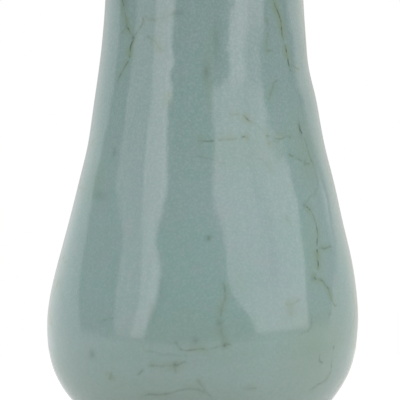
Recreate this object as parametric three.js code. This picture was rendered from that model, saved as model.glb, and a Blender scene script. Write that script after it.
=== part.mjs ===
// A celadon vase: a pear-shaped stoneware flower vessel under a thick, crackled glaze.
// Three thrown sections and a foot ring are luted to each other with slip. The joined body is
// glazed outside, inside and under the foot, and only the rim that it stands on stays bare.
// Millimetres, +Z up, origin at the centre of the circle that the foot rests on.
import * as THREE from "three";

// Outline of the finished vase, over the glaze.
const FOOT_RADIUS = 44;
const UNDERSIDE_HEIGHT = 9; // where the body springs out of the foot
const COVE_RADIUS = 2; // hollow between the foot and the body
const BELLY_RADIUS = 75;
const BELLY_RISE = 46; // widest ring above the underside
const BELLY_PULL = 32; // how far the belly stays upright above its widest ring
const WAIST_RADIUS = 47.4;
const WAIST_RISE = 170; // narrowest ring above the widest
const NECK_PULL = 76; // how far the neck stays upright below the waist
const FLARE_RISE = 9; // upright part of the mouth above the waist
const LIP_RISE = 15; // edge of the lip above the waist
const LIP_OVERHANG = 6.5; // edge of the lip outside the waist

// Thrown clay, glaze and slip.
const WALL_AT_FOOT = 4.8;
const WALL_AT_LIP = 2.8;
const GLAZE_OUTSIDE = 1.6;
const GLAZE_INSIDE = 1;
const GLAZE_UNDER_FOOT = 1;
const FUSED_GAP = 0.1; // between neighbours that are fused in the kiln
const SLIP_THICKNESS = 0.8;
const GROOVE_DEPTH = 1.6; // tongue of an upper section in the rim of the one below
const BELLY_SEAM_RISE = 62; // luted seam above the widest ring
const NECK_SEAM_DROP = 50; // luted seam below the waist
const LIP_OVERLAP = 8; // how far the outer glaze runs over the lip and down inside

// Foot ring and the well inside it.
const FOOT_WIDTH = 8;
const FOOT_BEVEL = 1;
const BARE_EDGE = 2.5; // height of bare clay above the table
const WELL_COVE = 2; // glaze pooled in the corner of the well

// Facets round the axis, and steps along each stretch of the outline.
const FACETS = 40;
const FOOT_STEPS = 1;
const COVE_STEPS = 2;
const BELLY_STEPS = 7;
const SHOULDER_STEPS = 9;
const FLARE_STEPS = 3;
const LIP_STEPS = 4;

// The finished outer surface as a line in the (radius, height) plane, from the edge of the
// glaze on the foot up to the lip.
const baseHeight = UNDERSIDE_HEIGHT - COVE_RADIUS;
const coveRadius = FOOT_RADIUS + COVE_RADIUS;
const bellyHeight = UNDERSIDE_HEIGHT + BELLY_RISE;
const waistHeight = bellyHeight + WAIST_RISE;

const footSide = new THREE.LineCurve(
  new THREE.Vector2(FOOT_RADIUS, BARE_EDGE),
  new THREE.Vector2(FOOT_RADIUS, baseHeight),
);
const cove = new THREE.QuadraticBezierCurve(
  new THREE.Vector2(FOOT_RADIUS, baseHeight),
  new THREE.Vector2(FOOT_RADIUS, UNDERSIDE_HEIGHT),
  new THREE.Vector2(coveRadius, UNDERSIDE_HEIGHT),
);
const underBelly = new THREE.EllipseCurve(
  coveRadius,
  bellyHeight,
  BELLY_RADIUS - coveRadius,
  BELLY_RISE,
  -Math.PI / 2,
  0,
);
const shoulder = new THREE.CubicBezierCurve(
  new THREE.Vector2(BELLY_RADIUS, bellyHeight),
  new THREE.Vector2(BELLY_RADIUS, bellyHeight + BELLY_PULL),
  new THREE.Vector2(WAIST_RADIUS, waistHeight - NECK_PULL),
  new THREE.Vector2(WAIST_RADIUS, waistHeight),
);
const flare = new THREE.QuadraticBezierCurve(
  new THREE.Vector2(WAIST_RADIUS, waistHeight),
  new THREE.Vector2(WAIST_RADIUS, waistHeight + FLARE_RISE),
  new THREE.Vector2(WAIST_RADIUS + LIP_OVERHANG, waistHeight + LIP_RISE),
);
const surface = new THREE.CurvePath();
[footSide, cove, underBelly, shoulder, flare].forEach((curve) => surface.add(curve));

// Places on the wall are given by their distance along the surface and their depth under it.
const [footSideEnd, coveEnd, bellyEnd, shoulderEnd, lipEnd] = surface.getCurveLengths();

function wallPoint(along, depth) {
  const onSurface = THREE.MathUtils.clamp(along, 0, lipEnd);
  const tangent = surface.getTangent(onSurface / lipEnd);
  const inward = new THREE.Vector2(-tangent.y, tangent.x);
  return surface
    .getPoint(onSurface / lipEnd)
    .addScaledVector(tangent, along - onSurface)
    .addScaledVector(inward, depth);
}

// Distance along the surface at which it reaches a height, found by halving.
const NEAR_ENOUGH = 1e-6;
function alongAtHeight(height) {
  let low = 0;
  let high = lipEnd;
  while (high - low > NEAR_ENOUGH) {
    const middle = (low + high) / 2;
    if (wallPoint(middle, 0).y < height) low = middle;
    else high = middle;
  }
  return low;
}

// Depths of the layers: outer glaze, clay wall thinning towards the lip, inner glaze.
const glazeFace = () => 0;
const glazeBack = () => GLAZE_OUTSIDE;
const clayFace = () => GLAZE_OUTSIDE + FUSED_GAP;
const clayBack = (along) =>
  clayFace() + THREE.MathUtils.mapLinear(along, 0, lipEnd, WALL_AT_FOOT, WALL_AT_LIP);
const linerBack = (along) => clayBack(along) + FUSED_GAP;
const linerFace = (along) => linerBack(along) + GLAZE_INSIDE;

// A luted seam: where the section below it ends, and where the section above it starts.
function seamAt(height) {
  const middle = alongAtHeight(height);
  return { below: middle - SLIP_THICKNESS / 2, above: middle + SLIP_THICKNESS / 2 };
}
const bellySeam = seamAt(bellyHeight + BELLY_SEAM_RISE);
const neckSeam = seamAt(waistHeight - NECK_SEAM_DROP);
const lipJoin = lipEnd - LIP_OVERLAP; // outer and inner glaze meet here, inside the mouth

// All layers bend at the same stations, so that neighbours stay parallel.
function evenly(from, to, steps) {
  return Array.from({ length: steps }, (_, i) => from + ((to - from) * (i + 1)) / steps);
}
const stations = [
  ...evenly(0, footSideEnd, FOOT_STEPS),
  ...evenly(footSideEnd, coveEnd, COVE_STEPS),
  ...evenly(coveEnd, bellyEnd, BELLY_STEPS),
  ...evenly(bellyEnd, shoulderEnd, SHOULDER_STEPS),
  ...evenly(shoulderEnd, lipEnd, FLARE_STEPS),
  ...Object.values(bellySeam),
  ...Object.values(neckSeam),
  lipJoin,
].sort((a, b) => a - b);

// A layer's line from one place to another, in either direction.
function layer(from, to, depth) {
  const low = Math.min(from, to);
  const high = Math.max(from, to);
  const places = [low, ...stations.filter((place) => place > low && place < high), high];
  if (from > to) places.reverse();
  return places.map((place) => wallPoint(place, depth(place)));
}

// The round of the lip between two depths, from the outside over the top to the inside.
function lipRound(outside, inside) {
  const middle = (outside(lipEnd) + inside(lipEnd)) / 2;
  const radius = (inside(lipEnd) - outside(lipEnd)) / 2;
  return evenly(0, Math.PI, LIP_STEPS)
    .slice(0, -1)
    .map((turn) => wallPoint(lipEnd + radius * Math.sin(turn), middle - radius * Math.cos(turn)));
}

// The bottom of the V that an edge makes between the two faces of the clay.
function tongue(along) {
  return wallPoint(along - GROOVE_DEPTH, (clayFace() + clayBack(along)) / 2);
}

// Turns a closed outline in the (radius, height) plane round the vertical axis.
function turned(outline) {
  const geometry = new THREE.LatheGeometry([...outline, outline[0]], FACETS);
  return geometry.rotateX(Math.PI / 2);
}

// Finishes.
const stoneware = { color: 0x9a8672, roughness: 0.9, metalness: 0 };
const slipClay = { color: 0xb3a48f, roughness: 0.95, metalness: 0 };
const celadon = { color: 0x86a29d, roughness: 0.15, metalness: 0 };
const bareFoot = { color: 0x8a6248, roughness: 0.85, metalness: 0 };

const vase = new THREE.Group();

function addPiece(name, outline, finish) {
  const piece = new THREE.Mesh(turned(outline), new THREE.MeshStandardMaterial(finish));
  piece.name = name;
  vase.add(piece);
}

// Foot ring: bare clay, bevelled where it meets the table.
const ringOutside = FOOT_RADIUS - clayFace();
const ringInside = ringOutside - FOOT_WIDTH;
const ringTop = baseHeight - SLIP_THICKNESS;
addPiece(
  "foot_ring",
  [
    new THREE.Vector2(ringInside + FOOT_BEVEL, 0),
    new THREE.Vector2(ringOutside - FOOT_BEVEL, 0),
    new THREE.Vector2(ringOutside, FOOT_BEVEL),
    new THREE.Vector2(ringOutside, ringTop),
    new THREE.Vector2(ringInside, ringTop),
    new THREE.Vector2(ringInside, FOOT_BEVEL),
  ],
  bareFoot,
);

// Flat bed of slip between the foot ring and the base.
addPiece(
  "foot_slip",
  [
    new THREE.Vector2(ringInside, ringTop + FUSED_GAP),
    new THREE.Vector2(ringOutside, ringTop + FUSED_GAP),
    new THREE.Vector2(ringOutside, baseHeight - FUSED_GAP),
    new THREE.Vector2(ringInside, baseHeight - FUSED_GAP),
  ],
  slipClay,
);

// Lower section: base, floor and wall up to a grooved rim.
const floorLine = layer(bellySeam.below, coveEnd, clayBack);
addPiece(
  "lower_body",
  [
    new THREE.Vector2(0, baseHeight),
    ...layer(footSideEnd, bellySeam.below, clayFace),
    tongue(bellySeam.below),
    ...floorLine,
    new THREE.Vector2(0, floorLine.at(-1).y),
  ],
  stoneware,
);

// Middle section: tongue below, grooved rim above.
addPiece(
  "upper_body",
  [
    ...layer(bellySeam.above, neckSeam.below, clayFace),
    tongue(neckSeam.below),
    ...layer(neckSeam.below, bellySeam.above, clayBack),
    tongue(bellySeam.above),
  ],
  stoneware,
);

// Neck: tongue below, rounded lip above.
addPiece(
  "neck",
  [
    ...layer(neckSeam.above, lipEnd, clayFace),
    ...lipRound(clayFace, clayBack),
    ...layer(lipEnd, neckSeam.above, clayBack),
    tongue(neckSeam.above),
  ],
  stoneware,
);

// Slip in the two grooves.
for (const [name, seam] of [
  ["belly_slip", bellySeam],
  ["neck_slip", neckSeam],
]) {
  const low = seam.below + FUSED_GAP;
  const high = seam.above - FUSED_GAP;
  addPiece(
    name,
    [
      wallPoint(low, clayFace()),
      wallPoint(high, clayFace()),
      tongue(high),
      wallPoint(high, clayBack(high)),
      wallPoint(low, clayBack(low)),
      tongue(low),
    ],
    slipClay,
  );
}

// Outer glaze: from a rolled edge on the foot up the wall, over the lip and a little way inside.
const rolledEdge = wallPoint(-GLAZE_OUTSIDE / 2, GLAZE_OUTSIDE / 2);
addPiece(
  "outer_glaze",
  [
    ...layer(0, lipEnd, glazeFace),
    ...lipRound(glazeFace, linerFace),
    ...layer(lipEnd, lipJoin, linerFace),
    ...layer(lipJoin, lipEnd, linerBack),
    ...lipRound(glazeBack, linerBack).reverse(),
    ...layer(lipEnd, 0, glazeBack),
    rolledEdge,
  ],
  celadon,
);

// Inner glaze: from the floor up to the edge of the outer glaze inside the mouth.
const linerTop = lipJoin - FUSED_GAP;
const linerUnder = layer(coveEnd, linerTop, linerBack);
const linerOver = layer(linerTop, coveEnd, linerFace);
addPiece(
  "inner_glaze",
  [
    new THREE.Vector2(0, linerUnder[0].y),
    ...linerUnder,
    ...linerOver,
    new THREE.Vector2(0, linerOver.at(-1).y),
  ],
  celadon,
);

// Glaze in the foot well: a disc under the base with a skirt down the inside of the ring.
const wellRadius = ringInside - FUSED_GAP;
const wellTop = baseHeight - FUSED_GAP;
const wellFace = wellTop - GLAZE_UNDER_FOOT;
addPiece(
  "well_glaze",
  [
    new THREE.Vector2(0, wellFace),
    new THREE.Vector2(wellRadius - GLAZE_UNDER_FOOT - WELL_COVE, wellFace),
    new THREE.Vector2(wellRadius - GLAZE_UNDER_FOOT, wellFace - WELL_COVE),
    new THREE.Vector2(wellRadius, BARE_EDGE),
    new THREE.Vector2(wellRadius, wellTop),
    new THREE.Vector2(0, wellTop),
  ],
  celadon,
);

export default vase;
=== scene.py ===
# %% [markdown]
# # A celadon vase
# The vase is a pear-shaped flower vessel. Three sections were thrown on a wheel, luted together with
# slip and dipped in a thick blue-green glaze that crazed as it cooled. Only the glaze and the bare foot
# can be seen, so those four skins are modelled here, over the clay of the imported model. The packed
# model is loaded first and is the ruler for everything that follows.

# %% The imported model
import math

import bpy
import numpy as np
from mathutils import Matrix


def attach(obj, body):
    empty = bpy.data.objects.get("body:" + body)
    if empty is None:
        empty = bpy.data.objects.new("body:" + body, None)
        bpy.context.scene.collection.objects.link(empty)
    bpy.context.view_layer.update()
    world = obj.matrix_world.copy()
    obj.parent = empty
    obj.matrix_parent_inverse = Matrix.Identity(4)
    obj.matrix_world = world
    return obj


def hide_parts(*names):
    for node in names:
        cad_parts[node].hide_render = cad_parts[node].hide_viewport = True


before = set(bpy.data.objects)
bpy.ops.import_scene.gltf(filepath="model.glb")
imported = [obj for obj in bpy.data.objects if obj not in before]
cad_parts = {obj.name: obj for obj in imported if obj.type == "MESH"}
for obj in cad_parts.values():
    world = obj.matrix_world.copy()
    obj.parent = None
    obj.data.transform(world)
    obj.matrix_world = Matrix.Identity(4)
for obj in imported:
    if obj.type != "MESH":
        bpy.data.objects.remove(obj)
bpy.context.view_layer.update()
MM = 0.001
print("packed nodes:", sorted(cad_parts))

# %% [markdown]
# ## The outline
# A thrown pot is a line turned round an axis. The line could be drawn as a long list of points, but a
# potter thinks in a few places: foot, belly, waist and lip. So the outline is five curves between
# those places, in millimetres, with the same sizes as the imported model. It is then cut into short
# steps, so that any place on it can be looked up by its distance along the line.

# %% The outline from the foot to the lip
FOOT_RADIUS = 44.0
BARE_EDGE = 2.5
UNDERSIDE_HEIGHT = 9.0
COVE_RADIUS = 2.0
BELLY_RADIUS = 75.0
BELLY_RISE = 46.0
BELLY_PULL = 32.0
WAIST_RADIUS = 47.4
WAIST_RISE = 170.0
NECK_PULL = 76.0
FLARE_RISE = 9.0
LIP_RISE = 15.0
LIP_OVERHANG = 6.5
CURVE_STEPS = 400

base_height = UNDERSIDE_HEIGHT - COVE_RADIUS
cove_outside = FOOT_RADIUS + COVE_RADIUS
belly_height = UNDERSIDE_HEIGHT + BELLY_RISE
waist_height = belly_height + WAIST_RISE


def bezier(*corners):
    """A Bezier curve: each corner is weighted by its term of ((1 - t) + t) to the curve's degree."""
    degree = len(corners) - 1
    t = np.linspace(0, 1, CURVE_STEPS)[:, None]
    weights = [math.comb(degree, k) * t**k * (1 - t) ** (degree - k) for k in range(degree + 1)]
    return sum(weight * np.array(corner, float) for weight, corner in zip(weights, corners))


def arc(centre, reach, start, end, steps):
    """Part of a circle or an ellipse: centre + reach (cos t, sin t), with t from start to end in degrees.
    reach is the radius, or the reach across and the reach up."""
    t = np.radians(np.linspace(start, end, steps))
    return np.array(centre) + np.array(reach) * np.stack([np.cos(t), np.sin(t)], axis=-1)


def line_of(radius, height):
    """Points of a profile from their radii and heights, either of which may be one number for all."""
    return np.stack(np.broadcast_arrays(radius, height), axis=-1)


def lengths_along(line):
    """Distance of each point of a line from its first point, along the line."""
    return np.append(0, np.cumsum(np.linalg.norm(np.diff(line, axis=0), axis=1)))


def looked_up(where, places, line):
    """Points of a line at any distances along it, straight between its points at the known places."""
    return np.stack([np.interp(where, places, column) for column in line.T], axis=-1)


foot_side = bezier((FOOT_RADIUS, BARE_EDGE), (FOOT_RADIUS, base_height))
cove = bezier(
    (FOOT_RADIUS, base_height), (FOOT_RADIUS, UNDERSIDE_HEIGHT), (cove_outside, UNDERSIDE_HEIGHT)
)
belly_reach = (BELLY_RADIUS - cove_outside, BELLY_RISE)
under_belly = arc((cove_outside, belly_height), belly_reach, -90, 0, CURVE_STEPS)
shoulder = bezier(
    (BELLY_RADIUS, belly_height),
    (BELLY_RADIUS, belly_height + BELLY_PULL),
    (WAIST_RADIUS, waist_height - NECK_PULL),
    (WAIST_RADIUS, waist_height),
)
flare = bezier(
    (WAIST_RADIUS, waist_height),
    (WAIST_RADIUS, waist_height + FLARE_RISE),
    (WAIST_RADIUS + LIP_OVERHANG, waist_height + LIP_RISE),
)
outline = np.concatenate([foot_side, cove[1:], under_belly[1:], shoulder[1:], flare[1:]])
along = lengths_along(outline)
tangent = np.gradient(outline, along, axis=0)
tangent /= np.linalg.norm(tangent, axis=1)[:, None]
cove_end = along[len(foot_side) + len(cove) - 2]
lip_end = along[-1]
print(f"the outline is {lip_end:.1f} mm long and {outline[:, 1].max():.1f} mm high")

# %% [markdown]
# ## Layers of the wall
# From outside to inside the wall is glaze, clay and glaze. Each layer could be its own drawing, but
# then a change to the outline would part them. So a place in the wall is given by two numbers, the
# distance along the outline and the depth under it, and all layers follow the outline by themselves.

# %% A place in the wall
GLAZE_OUTSIDE = 1.6
GLAZE_INSIDE = 1.0
FUSED_GAP = 0.1
WALL_AT_FOOT = 4.8
WALL_AT_LIP = 2.8
LIP_OVERLAP = 8.0


def wall(place, depth):
    """(radius, height) of a place in the wall: the outline's point there, moved inwards by the depth
    square to the line. Past either end the line goes straight on."""
    place = np.asarray(place, float)
    depth = np.broadcast_to(np.asarray(depth, float), place.shape)[:, None]
    on_line = np.clip(place, 0, lip_end)
    point = looked_up(on_line, along, outline)
    ahead = looked_up(on_line, along, tangent)
    inwards = line_of(-ahead[:, 1], ahead[:, 0])
    return point + (place - on_line)[:, None] * ahead + depth * inwards


def liner_back(place):
    """Depth of the inner glaze's back: outer glaze, clay that thins evenly to the lip, and two gaps."""
    clay = WALL_AT_FOOT + (WALL_AT_LIP - WALL_AT_FOOT) * np.asarray(place) / lip_end
    return GLAZE_OUTSIDE + clay + 2 * FUSED_GAP


def liner_face(place):
    """Depth of the inner glaze's face: its back and its thickness."""
    return liner_back(place) + GLAZE_INSIDE


def lip_round(outside, inside, count):
    """Points of the half turn over the lip from one depth to another, without its two ends."""
    turn = np.linspace(0, np.pi, count + 2)[1:-1]
    middle, radius = (inside + outside) / 2, (inside - outside) / 2
    return wall(lip_end + radius * np.sin(turn), middle - radius * np.cos(turn))


lip_join = lip_end - LIP_OVERLAP
print(f"the wall at the lip is {float(liner_face(lip_end)):.1f} mm thick over both glazes")

# %% [markdown]
# ## From a line to a mesh
# Blender's Screw modifier can turn a line, but then the hand's unevenness has no place to go. So the
# surface is worked out as a grid: one row for each point of the profile, one column for each angle.
# Azimuth 0 faces the viewer, at -Y, and grows to the viewer's right. A profile that starts and ends on
# the axis gets a fan of triangles at each pole, and any other profile closes on itself.


# %% Turning a profile and putting it into a mesh
def azimuths(columns, gather=0.0):
    """Angles once round, in radians: t - gather sin(t), so that gather draws them together in front."""
    turn = np.linspace(-np.pi, np.pi, columns, endpoint=False)
    return turn - gather * np.sin(turn)


def turned(profile, azimuth):
    """Grid of points: x = radius sin(azimuth), y = -radius cos(azimuth), z = height. The profile is
    (rows, 2), or (rows, columns, 2) where it changes round the axis."""
    if profile.ndim == 2:
        profile = np.repeat(profile[:, None, :], len(azimuth), axis=1)
    radius, height = profile[..., 0], profile[..., 1]
    return np.stack([radius * np.sin(azimuth), -radius * np.cos(azimuth), height], axis=-1)


def quads_between(rows, columns, closed):
    """Four corners of each cell of a grid whose last column joins its first, and its rows too if closed."""
    row = np.arange(rows if closed else rows - 1)[:, None]
    column = np.arange(columns)[None, :]
    next_row, next_column = (row + 1) % rows, (column + 1) % columns
    corners = [
        row * columns + column,
        row * columns + next_column,
        next_row * columns + next_column,
        next_row * columns + column,
    ]
    return np.stack(corners, axis=-1).reshape(-1, 4)


def fan(pole, ring):
    """Triangles from a pole to each step of a ring."""
    return np.stack([np.full(len(ring), pole), np.roll(ring, -1), ring], axis=-1)


def into_scene(name, points, faces):
    """A mesh object from points in mm and the corners of its faces, linked to the scene."""
    mesh = bpy.data.meshes.new(name)
    mesh.from_pydata((points * MM).tolist(), [], faces)
    item = bpy.data.objects.new(name, mesh)
    bpy.context.scene.collection.objects.link(item)
    return item


def make_piece(name, grid, poles=None):
    """A smooth mesh object from a grid of points in mm. poles gives the heights on the axis where an
    open profile starts and ends. The faces are turned round if the signed volume is negative."""
    rows, columns = grid.shape[:2]
    points = grid.reshape(-1, 3)
    quads = quads_between(rows, columns, closed=poles is None)
    fans = np.zeros((0, 3), int)
    if poles is not None:
        points = np.concatenate([points, [[0, 0, poles[0]], [0, 0, poles[1]]]])
        first, last = np.arange(columns), np.arange(columns) + (rows - 1) * columns
        fans = np.concatenate([fan(rows * columns, first), fan(rows * columns + 1, last[::-1])])
    triangles = np.concatenate([quads[:, [0, 1, 2]], quads[:, [0, 2, 3]], fans])
    a, b, c = (points[triangles[:, k]] for k in range(3))
    volume = np.einsum("ij,ij->i", a, np.cross(b, c)).sum() / 6
    if volume < 0:
        quads, fans = quads[:, ::-1], fans[:, ::-1]
    piece = into_scene(name, points, quads.tolist() + fans.tolist())
    piece.data.validate()
    piece.data.shade_smooth()
    print(f"{name}: {len(triangles)} triangles, {abs(volume) / 1000:.1f} cubic cm")
    return piece


def settle(piece, node):
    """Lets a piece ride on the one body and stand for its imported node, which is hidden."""
    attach(piece, "root")
    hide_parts(node)


print("the grid helpers are ready")

# %% [markdown]
# ## The hand's unevenness
# A wheel gives true circles, and the potter's hands, the joins and the kiln bend them a little. That
# shows in two ways: the outline wanders by about a millimetre, and the edges of the reflected windows
# waver. A noise texture would waver everywhere alike, so the main swellings and dents are listed one
# by one, as bell curves, and a few slow seeded waves fill the rest.

# %% Lean, rings, dents and slow waves
LEAN = 1.1
LEAN_PERIOD = 200.0
LEAN_ZERO_HEIGHT = 76.0
LEAN_STARTS = (4, 22)
LEAN_ENDS = (165, 190)
# Half rings, full at one side and fading to the front and back: height, left, right, half-height.
RINGS = [
    (210, -0.42, -0.20, 12),
    (180, -0.20, -0.40, 9),
    (163, 0.20, 0.54, 8),
    (139, -0.45, -0.30, 8),
    (119, -0.05, 0.12, 8),
    (86, 0.00, 0.50, 10),
    (70, 0.33, 0.30, 16),
    (34, 0.75, 0.90, 8),
]
SIDE_POWER = 3
# Dents and swellings: azimuth in degrees, height, size, half-width in degrees, half-height.
DENTS = [
    (14, 173, 0.20, 14, 6.5),
    (-12.5, 182.5, 0.25, 5, 4),
    (-12.5, 174.5, -0.15, 5, 3.5),
    (-13, 166, 0.10, 5, 3.5),
    (-13, 156, -0.15, 5, 4),
    (-15, 144.5, -0.10, 5, 4),
]
WAVE_SEED = 11
WAVE_COUNT = 16
WAVE_SIZE = 0.05
WAVE_TURNS = (2, 8)
WAVE_PITCH = (50, 160)
RELIEF_STARTS = (6, 14)
RELIEF_ENDS = (222, 238)


def smooth_step(value, low, high):
    """0 up to low, 1 from high, and 3t^2 - 2t^3 between them."""
    t = np.clip((value - low) / (high - low), 0, 1)
    return t * t * (3 - 2 * t)


def bell(distance, half):
    """A bell curve of height 1: e to the power of minus half the squared distance over half."""
    return np.exp(-0.5 * (distance / half) ** 2)


def lean(height):
    """How far the axis of the wall wanders to the right: one sine wave that fades at the foot and neck."""
    wander = LEAN * np.sin(2 * np.pi * (height - LEAN_ZERO_HEIGHT) / LEAN_PERIOD)
    return wander * smooth_step(height, *LEAN_STARTS) * (1 - smooth_step(height, *LEAN_ENDS))


def slow_waves(azimuth, height):
    """Sum of sine waves of a few whole turns round the axis and of random slant, from a fixed seed."""
    rng = np.random.default_rng(WAVE_SEED)
    around = rng.integers(*WAVE_TURNS, WAVE_COUNT)
    climb = 2 * np.pi / rng.uniform(*WAVE_PITCH, WAVE_COUNT) * rng.choice([-1, 1], WAVE_COUNT)
    start = rng.uniform(0, 2 * np.pi, WAVE_COUNT)
    size = rng.uniform(0.3 * WAVE_SIZE, WAVE_SIZE, WAVE_COUNT)
    total = 0 * azimuth * height
    for turns, slant, phase, reach in zip(around, climb, start, size):
        total = total + reach * np.sin(turns * azimuth + slant * height + phase)
    return total


def relief(azimuth, height):
    """How far the face stands out of its true circle: rings, dents and waves, fading at foot and lip."""
    leftness = np.maximum(-np.sin(azimuth), 0) ** SIDE_POWER
    rightness = np.maximum(np.sin(azimuth), 0) ** SIDE_POWER
    total = slow_waves(azimuth, height)
    for middle, left, right, half in RINGS:
        total = total + (left * leftness + right * rightness) * bell(height - middle, half)
    for centre, middle, size, half_width, half_height in DENTS:
        turn = np.angle(np.exp(1j * (azimuth - np.radians(centre))))
        total = total + size * bell(np.degrees(turn), half_width) * bell(height - middle, half_height)
    return total * smooth_step(height, *RELIEF_STARTS) * (1 - smooth_step(height, *RELIEF_ENDS))


sample = relief(azimuths(360), np.arange(waist_height)[:, None])
print(f"the wall stands {sample.min():.2f} to {sample.max():.2f} mm out of true")

# %% [markdown]
# ## The outer glaze
# The glaze is a skin over a millimetre thick. It starts as a rolled bead on the foot, runs up the wall,
# folds over the lip and ends a little way inside the mouth. A sheet with a Solidify modifier would give
# an even skin, but a dipped glaze is thicker in one place than in another. So its profile is a closed
# loop, the face and the back, and only the face carries the unevenness.

# %% The outer glaze's surface
COLUMNS = 366
FRONT_GATHER = 0.3
FACE_ROWS = 204
LIP_ROWS = 14
INSIDE_ROWS = 8
BACK_LIP_ROWS = 5
BACK_ROWS = 18
BACK_FOOT_ROWS = 6
BEAD_ROWS = 5
CRISP = 0.15
EDGE_WAVER = 0.5

azimuth = azimuths(COLUMNS, FRONT_GATHER)
face_places = np.linspace(0, lip_end, FACE_ROWS)
inside_places = np.append(np.linspace(lip_end, lip_join + CRISP, INSIDE_ROWS), lip_join)
inside_back = inside_places[::-2]
back_places = np.linspace(lip_end, cove_end, BACK_ROWS)
back_places = np.append(back_places, np.linspace(cove_end, 0, BACK_FOOT_ROWS)[1:])
roll = np.linspace(0, np.pi, BEAD_ROWS + 2)[1:-1]
bead = GLAZE_OUTSIDE / 2
glaze_profile = np.concatenate(
    [
        wall(face_places, 0),
        lip_round(0, liner_face(lip_end), LIP_ROWS),
        wall(inside_places, liner_face(inside_places)),
        wall(inside_back, liner_back(inside_back)),
        lip_round(GLAZE_OUTSIDE, liner_back(lip_end), BACK_LIP_ROWS)[::-1],
        wall(back_places, GLAZE_OUTSIDE),
        wall(-bead * np.sin(roll), bead + bead * np.cos(roll)),
    ]
)
glaze_grid = turned(glaze_profile, azimuth)
face_radius = glaze_profile[:FACE_ROWS, 0:1]
face_height = glaze_profile[:FACE_ROWS, 1:2]
stand_out = relief(azimuth, face_height) / face_radius
glaze_grid[:FACE_ROWS, :, :2] *= 1 + stand_out[..., None]
glaze_grid[:FACE_ROWS, :, 0] += lean(face_height)
# The bead's edge wavers up and down three and seven times round the foot.
wavering = EDGE_WAVER * (np.sin(3 * azimuth + 1) + np.sin(7 * azimuth)) / 2
glaze_grid[..., 2] += wavering * (1 - smooth_step(glaze_grid[..., 2], BARE_EDGE, base_height))
glaze_outside = make_piece("glaze_outside", glaze_grid)
settle(glaze_outside, "outer_glaze")

# %% [markdown]
# ## The inner glaze
# Inside, the potter's fingers left a shallow spiral from the floor to the neck, and the glaze was
# poured in and out over it. A ring at each height would look machined. So the ripple is one wave whose
# phase grows with the distance along the wall and with the angle, which makes a single spiral. In the
# mouth this glaze meets the edge of the outer one, with a low ridge just under the join.

# %% The inner glaze's surface
LINER_COLUMNS = 240
LINER_ROWS = 190
LINER_BACK_ROWS = 40
FLOOR_ROWS = 22
POLE_RADIUS = 1.0
FINGER_PITCH = 9.0
FINGER_DEPTH = 0.35
FINGERS_BELOW_JOIN = (4, 40)
FINGERS_FROM_AXIS = (2, 14)
POUR_GAP = 0.01
POUR_RIDGE = 0.12
RIDGE_BELOW_JOIN = 3.0
RIDGE_HALF = 1.2

liner_azimuth = azimuths(LINER_COLUMNS)
liner_top = lip_join - POUR_GAP
liner_places = np.append(liner_top, np.linspace(liner_top - CRISP, cove_end, LINER_ROWS - 1))
liner_wall = wall(liner_places, liner_face(liner_places))
floor_radius, floor_height = liner_wall[-1]
floor_line = line_of(np.linspace(floor_radius, POLE_RADIUS, FLOOR_ROWS), floor_height)
seen_line = np.concatenate([liner_wall, floor_line[1:]])
seen_along = lengths_along(seen_line)
seen_ahead = np.gradient(seen_line, seen_along, axis=0)
seen_out = line_of(seen_ahead[:, 1], -seen_ahead[:, 0])
fingers = np.sin(2 * np.pi * seen_along[:, None] / FINGER_PITCH + liner_azimuth)
fading = smooth_step(seen_along, *FINGERS_BELOW_JOIN) * smooth_step(seen_line[:, 0], *FINGERS_FROM_AXIS)
ridge = POUR_RIDGE * bell(seen_along - RIDGE_BELOW_JOIN, RIDGE_HALF)
ripple = FINGER_DEPTH * fading[:, None] * fingers - ridge[:, None]
seen_grid = seen_line[:, None, :] + ripple[..., None] * seen_out[:, None, :]
hidden_places = np.linspace(cove_end, liner_top, LINER_BACK_ROWS)
hidden_line = wall(hidden_places, liner_back(hidden_places))
hidden_grid = np.repeat(hidden_line[:, None, :], LINER_COLUMNS, axis=1)
liner_grid = turned(np.concatenate([hidden_grid, seen_grid]), liner_azimuth)
glaze_inside = make_piece("glaze_inside", liner_grid, (hidden_line[0, 1], floor_height))
settle(glaze_inside, "inner_glaze")

# %% [markdown]
# ## The glaze in the foot well
# Under the base lies a pool of glaze with a rounded corner where it meets the foot ring. A disc would
# do from far away, but the soft corner is what catches the light when the vase is turned over.

# %% The well's surface
FOOT_WIDTH = 8.0
GLAZE_UNDER_FOOT = 1.0
WELL_COVE = 2.0
WELL_SAG = 0.4
WELL_COLUMNS = 160
POOL_ROWS = 24
WELL_COVE_ROWS = 12
SKIRT_ROWS = 6

ring_outside = FOOT_RADIUS - GLAZE_OUTSIDE - FUSED_GAP
ring_inside = ring_outside - FOOT_WIDTH
well_radius = ring_inside - FUSED_GAP
well_top = base_height - FUSED_GAP
well_face = well_top - GLAZE_UNDER_FOOT
pool_edge = well_radius - GLAZE_UNDER_FOOT - WELL_COVE
pool_radius = np.linspace(POLE_RADIUS, pool_edge, POOL_ROWS)
pool_sag = WELL_SAG * (1 - (pool_radius / pool_edge) ** 2)
skirt_middle = (well_radius, BARE_EDGE + GLAZE_UNDER_FOOT)
well_line = np.concatenate(
    [
        line_of(pool_radius, well_face - pool_sag),
        arc((pool_edge, well_face - WELL_COVE), WELL_COVE, 90, 0, WELL_COVE_ROWS)[1:],
        arc(skirt_middle, GLAZE_UNDER_FOOT, 180, 270, SKIRT_ROWS),
        [[well_radius, well_top], [POLE_RADIUS, well_top]],
    ]
)
well_grid = turned(well_line, azimuths(WELL_COLUMNS))
glaze_in_the_well = make_piece("glaze_in_the_well", well_grid, (well_face - WELL_SAG, well_top))
settle(glaze_in_the_well, "well_glaze")

# %% [markdown]
# ## The bare foot
# The foot was turned with a metal tool on the leather-hard vase, so it has crisp shallow grooves and
# softened edges. A bevelled ring with a bump texture would be quicker, but its rim shows against the
# table, so the grooves are in the mesh.

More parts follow.
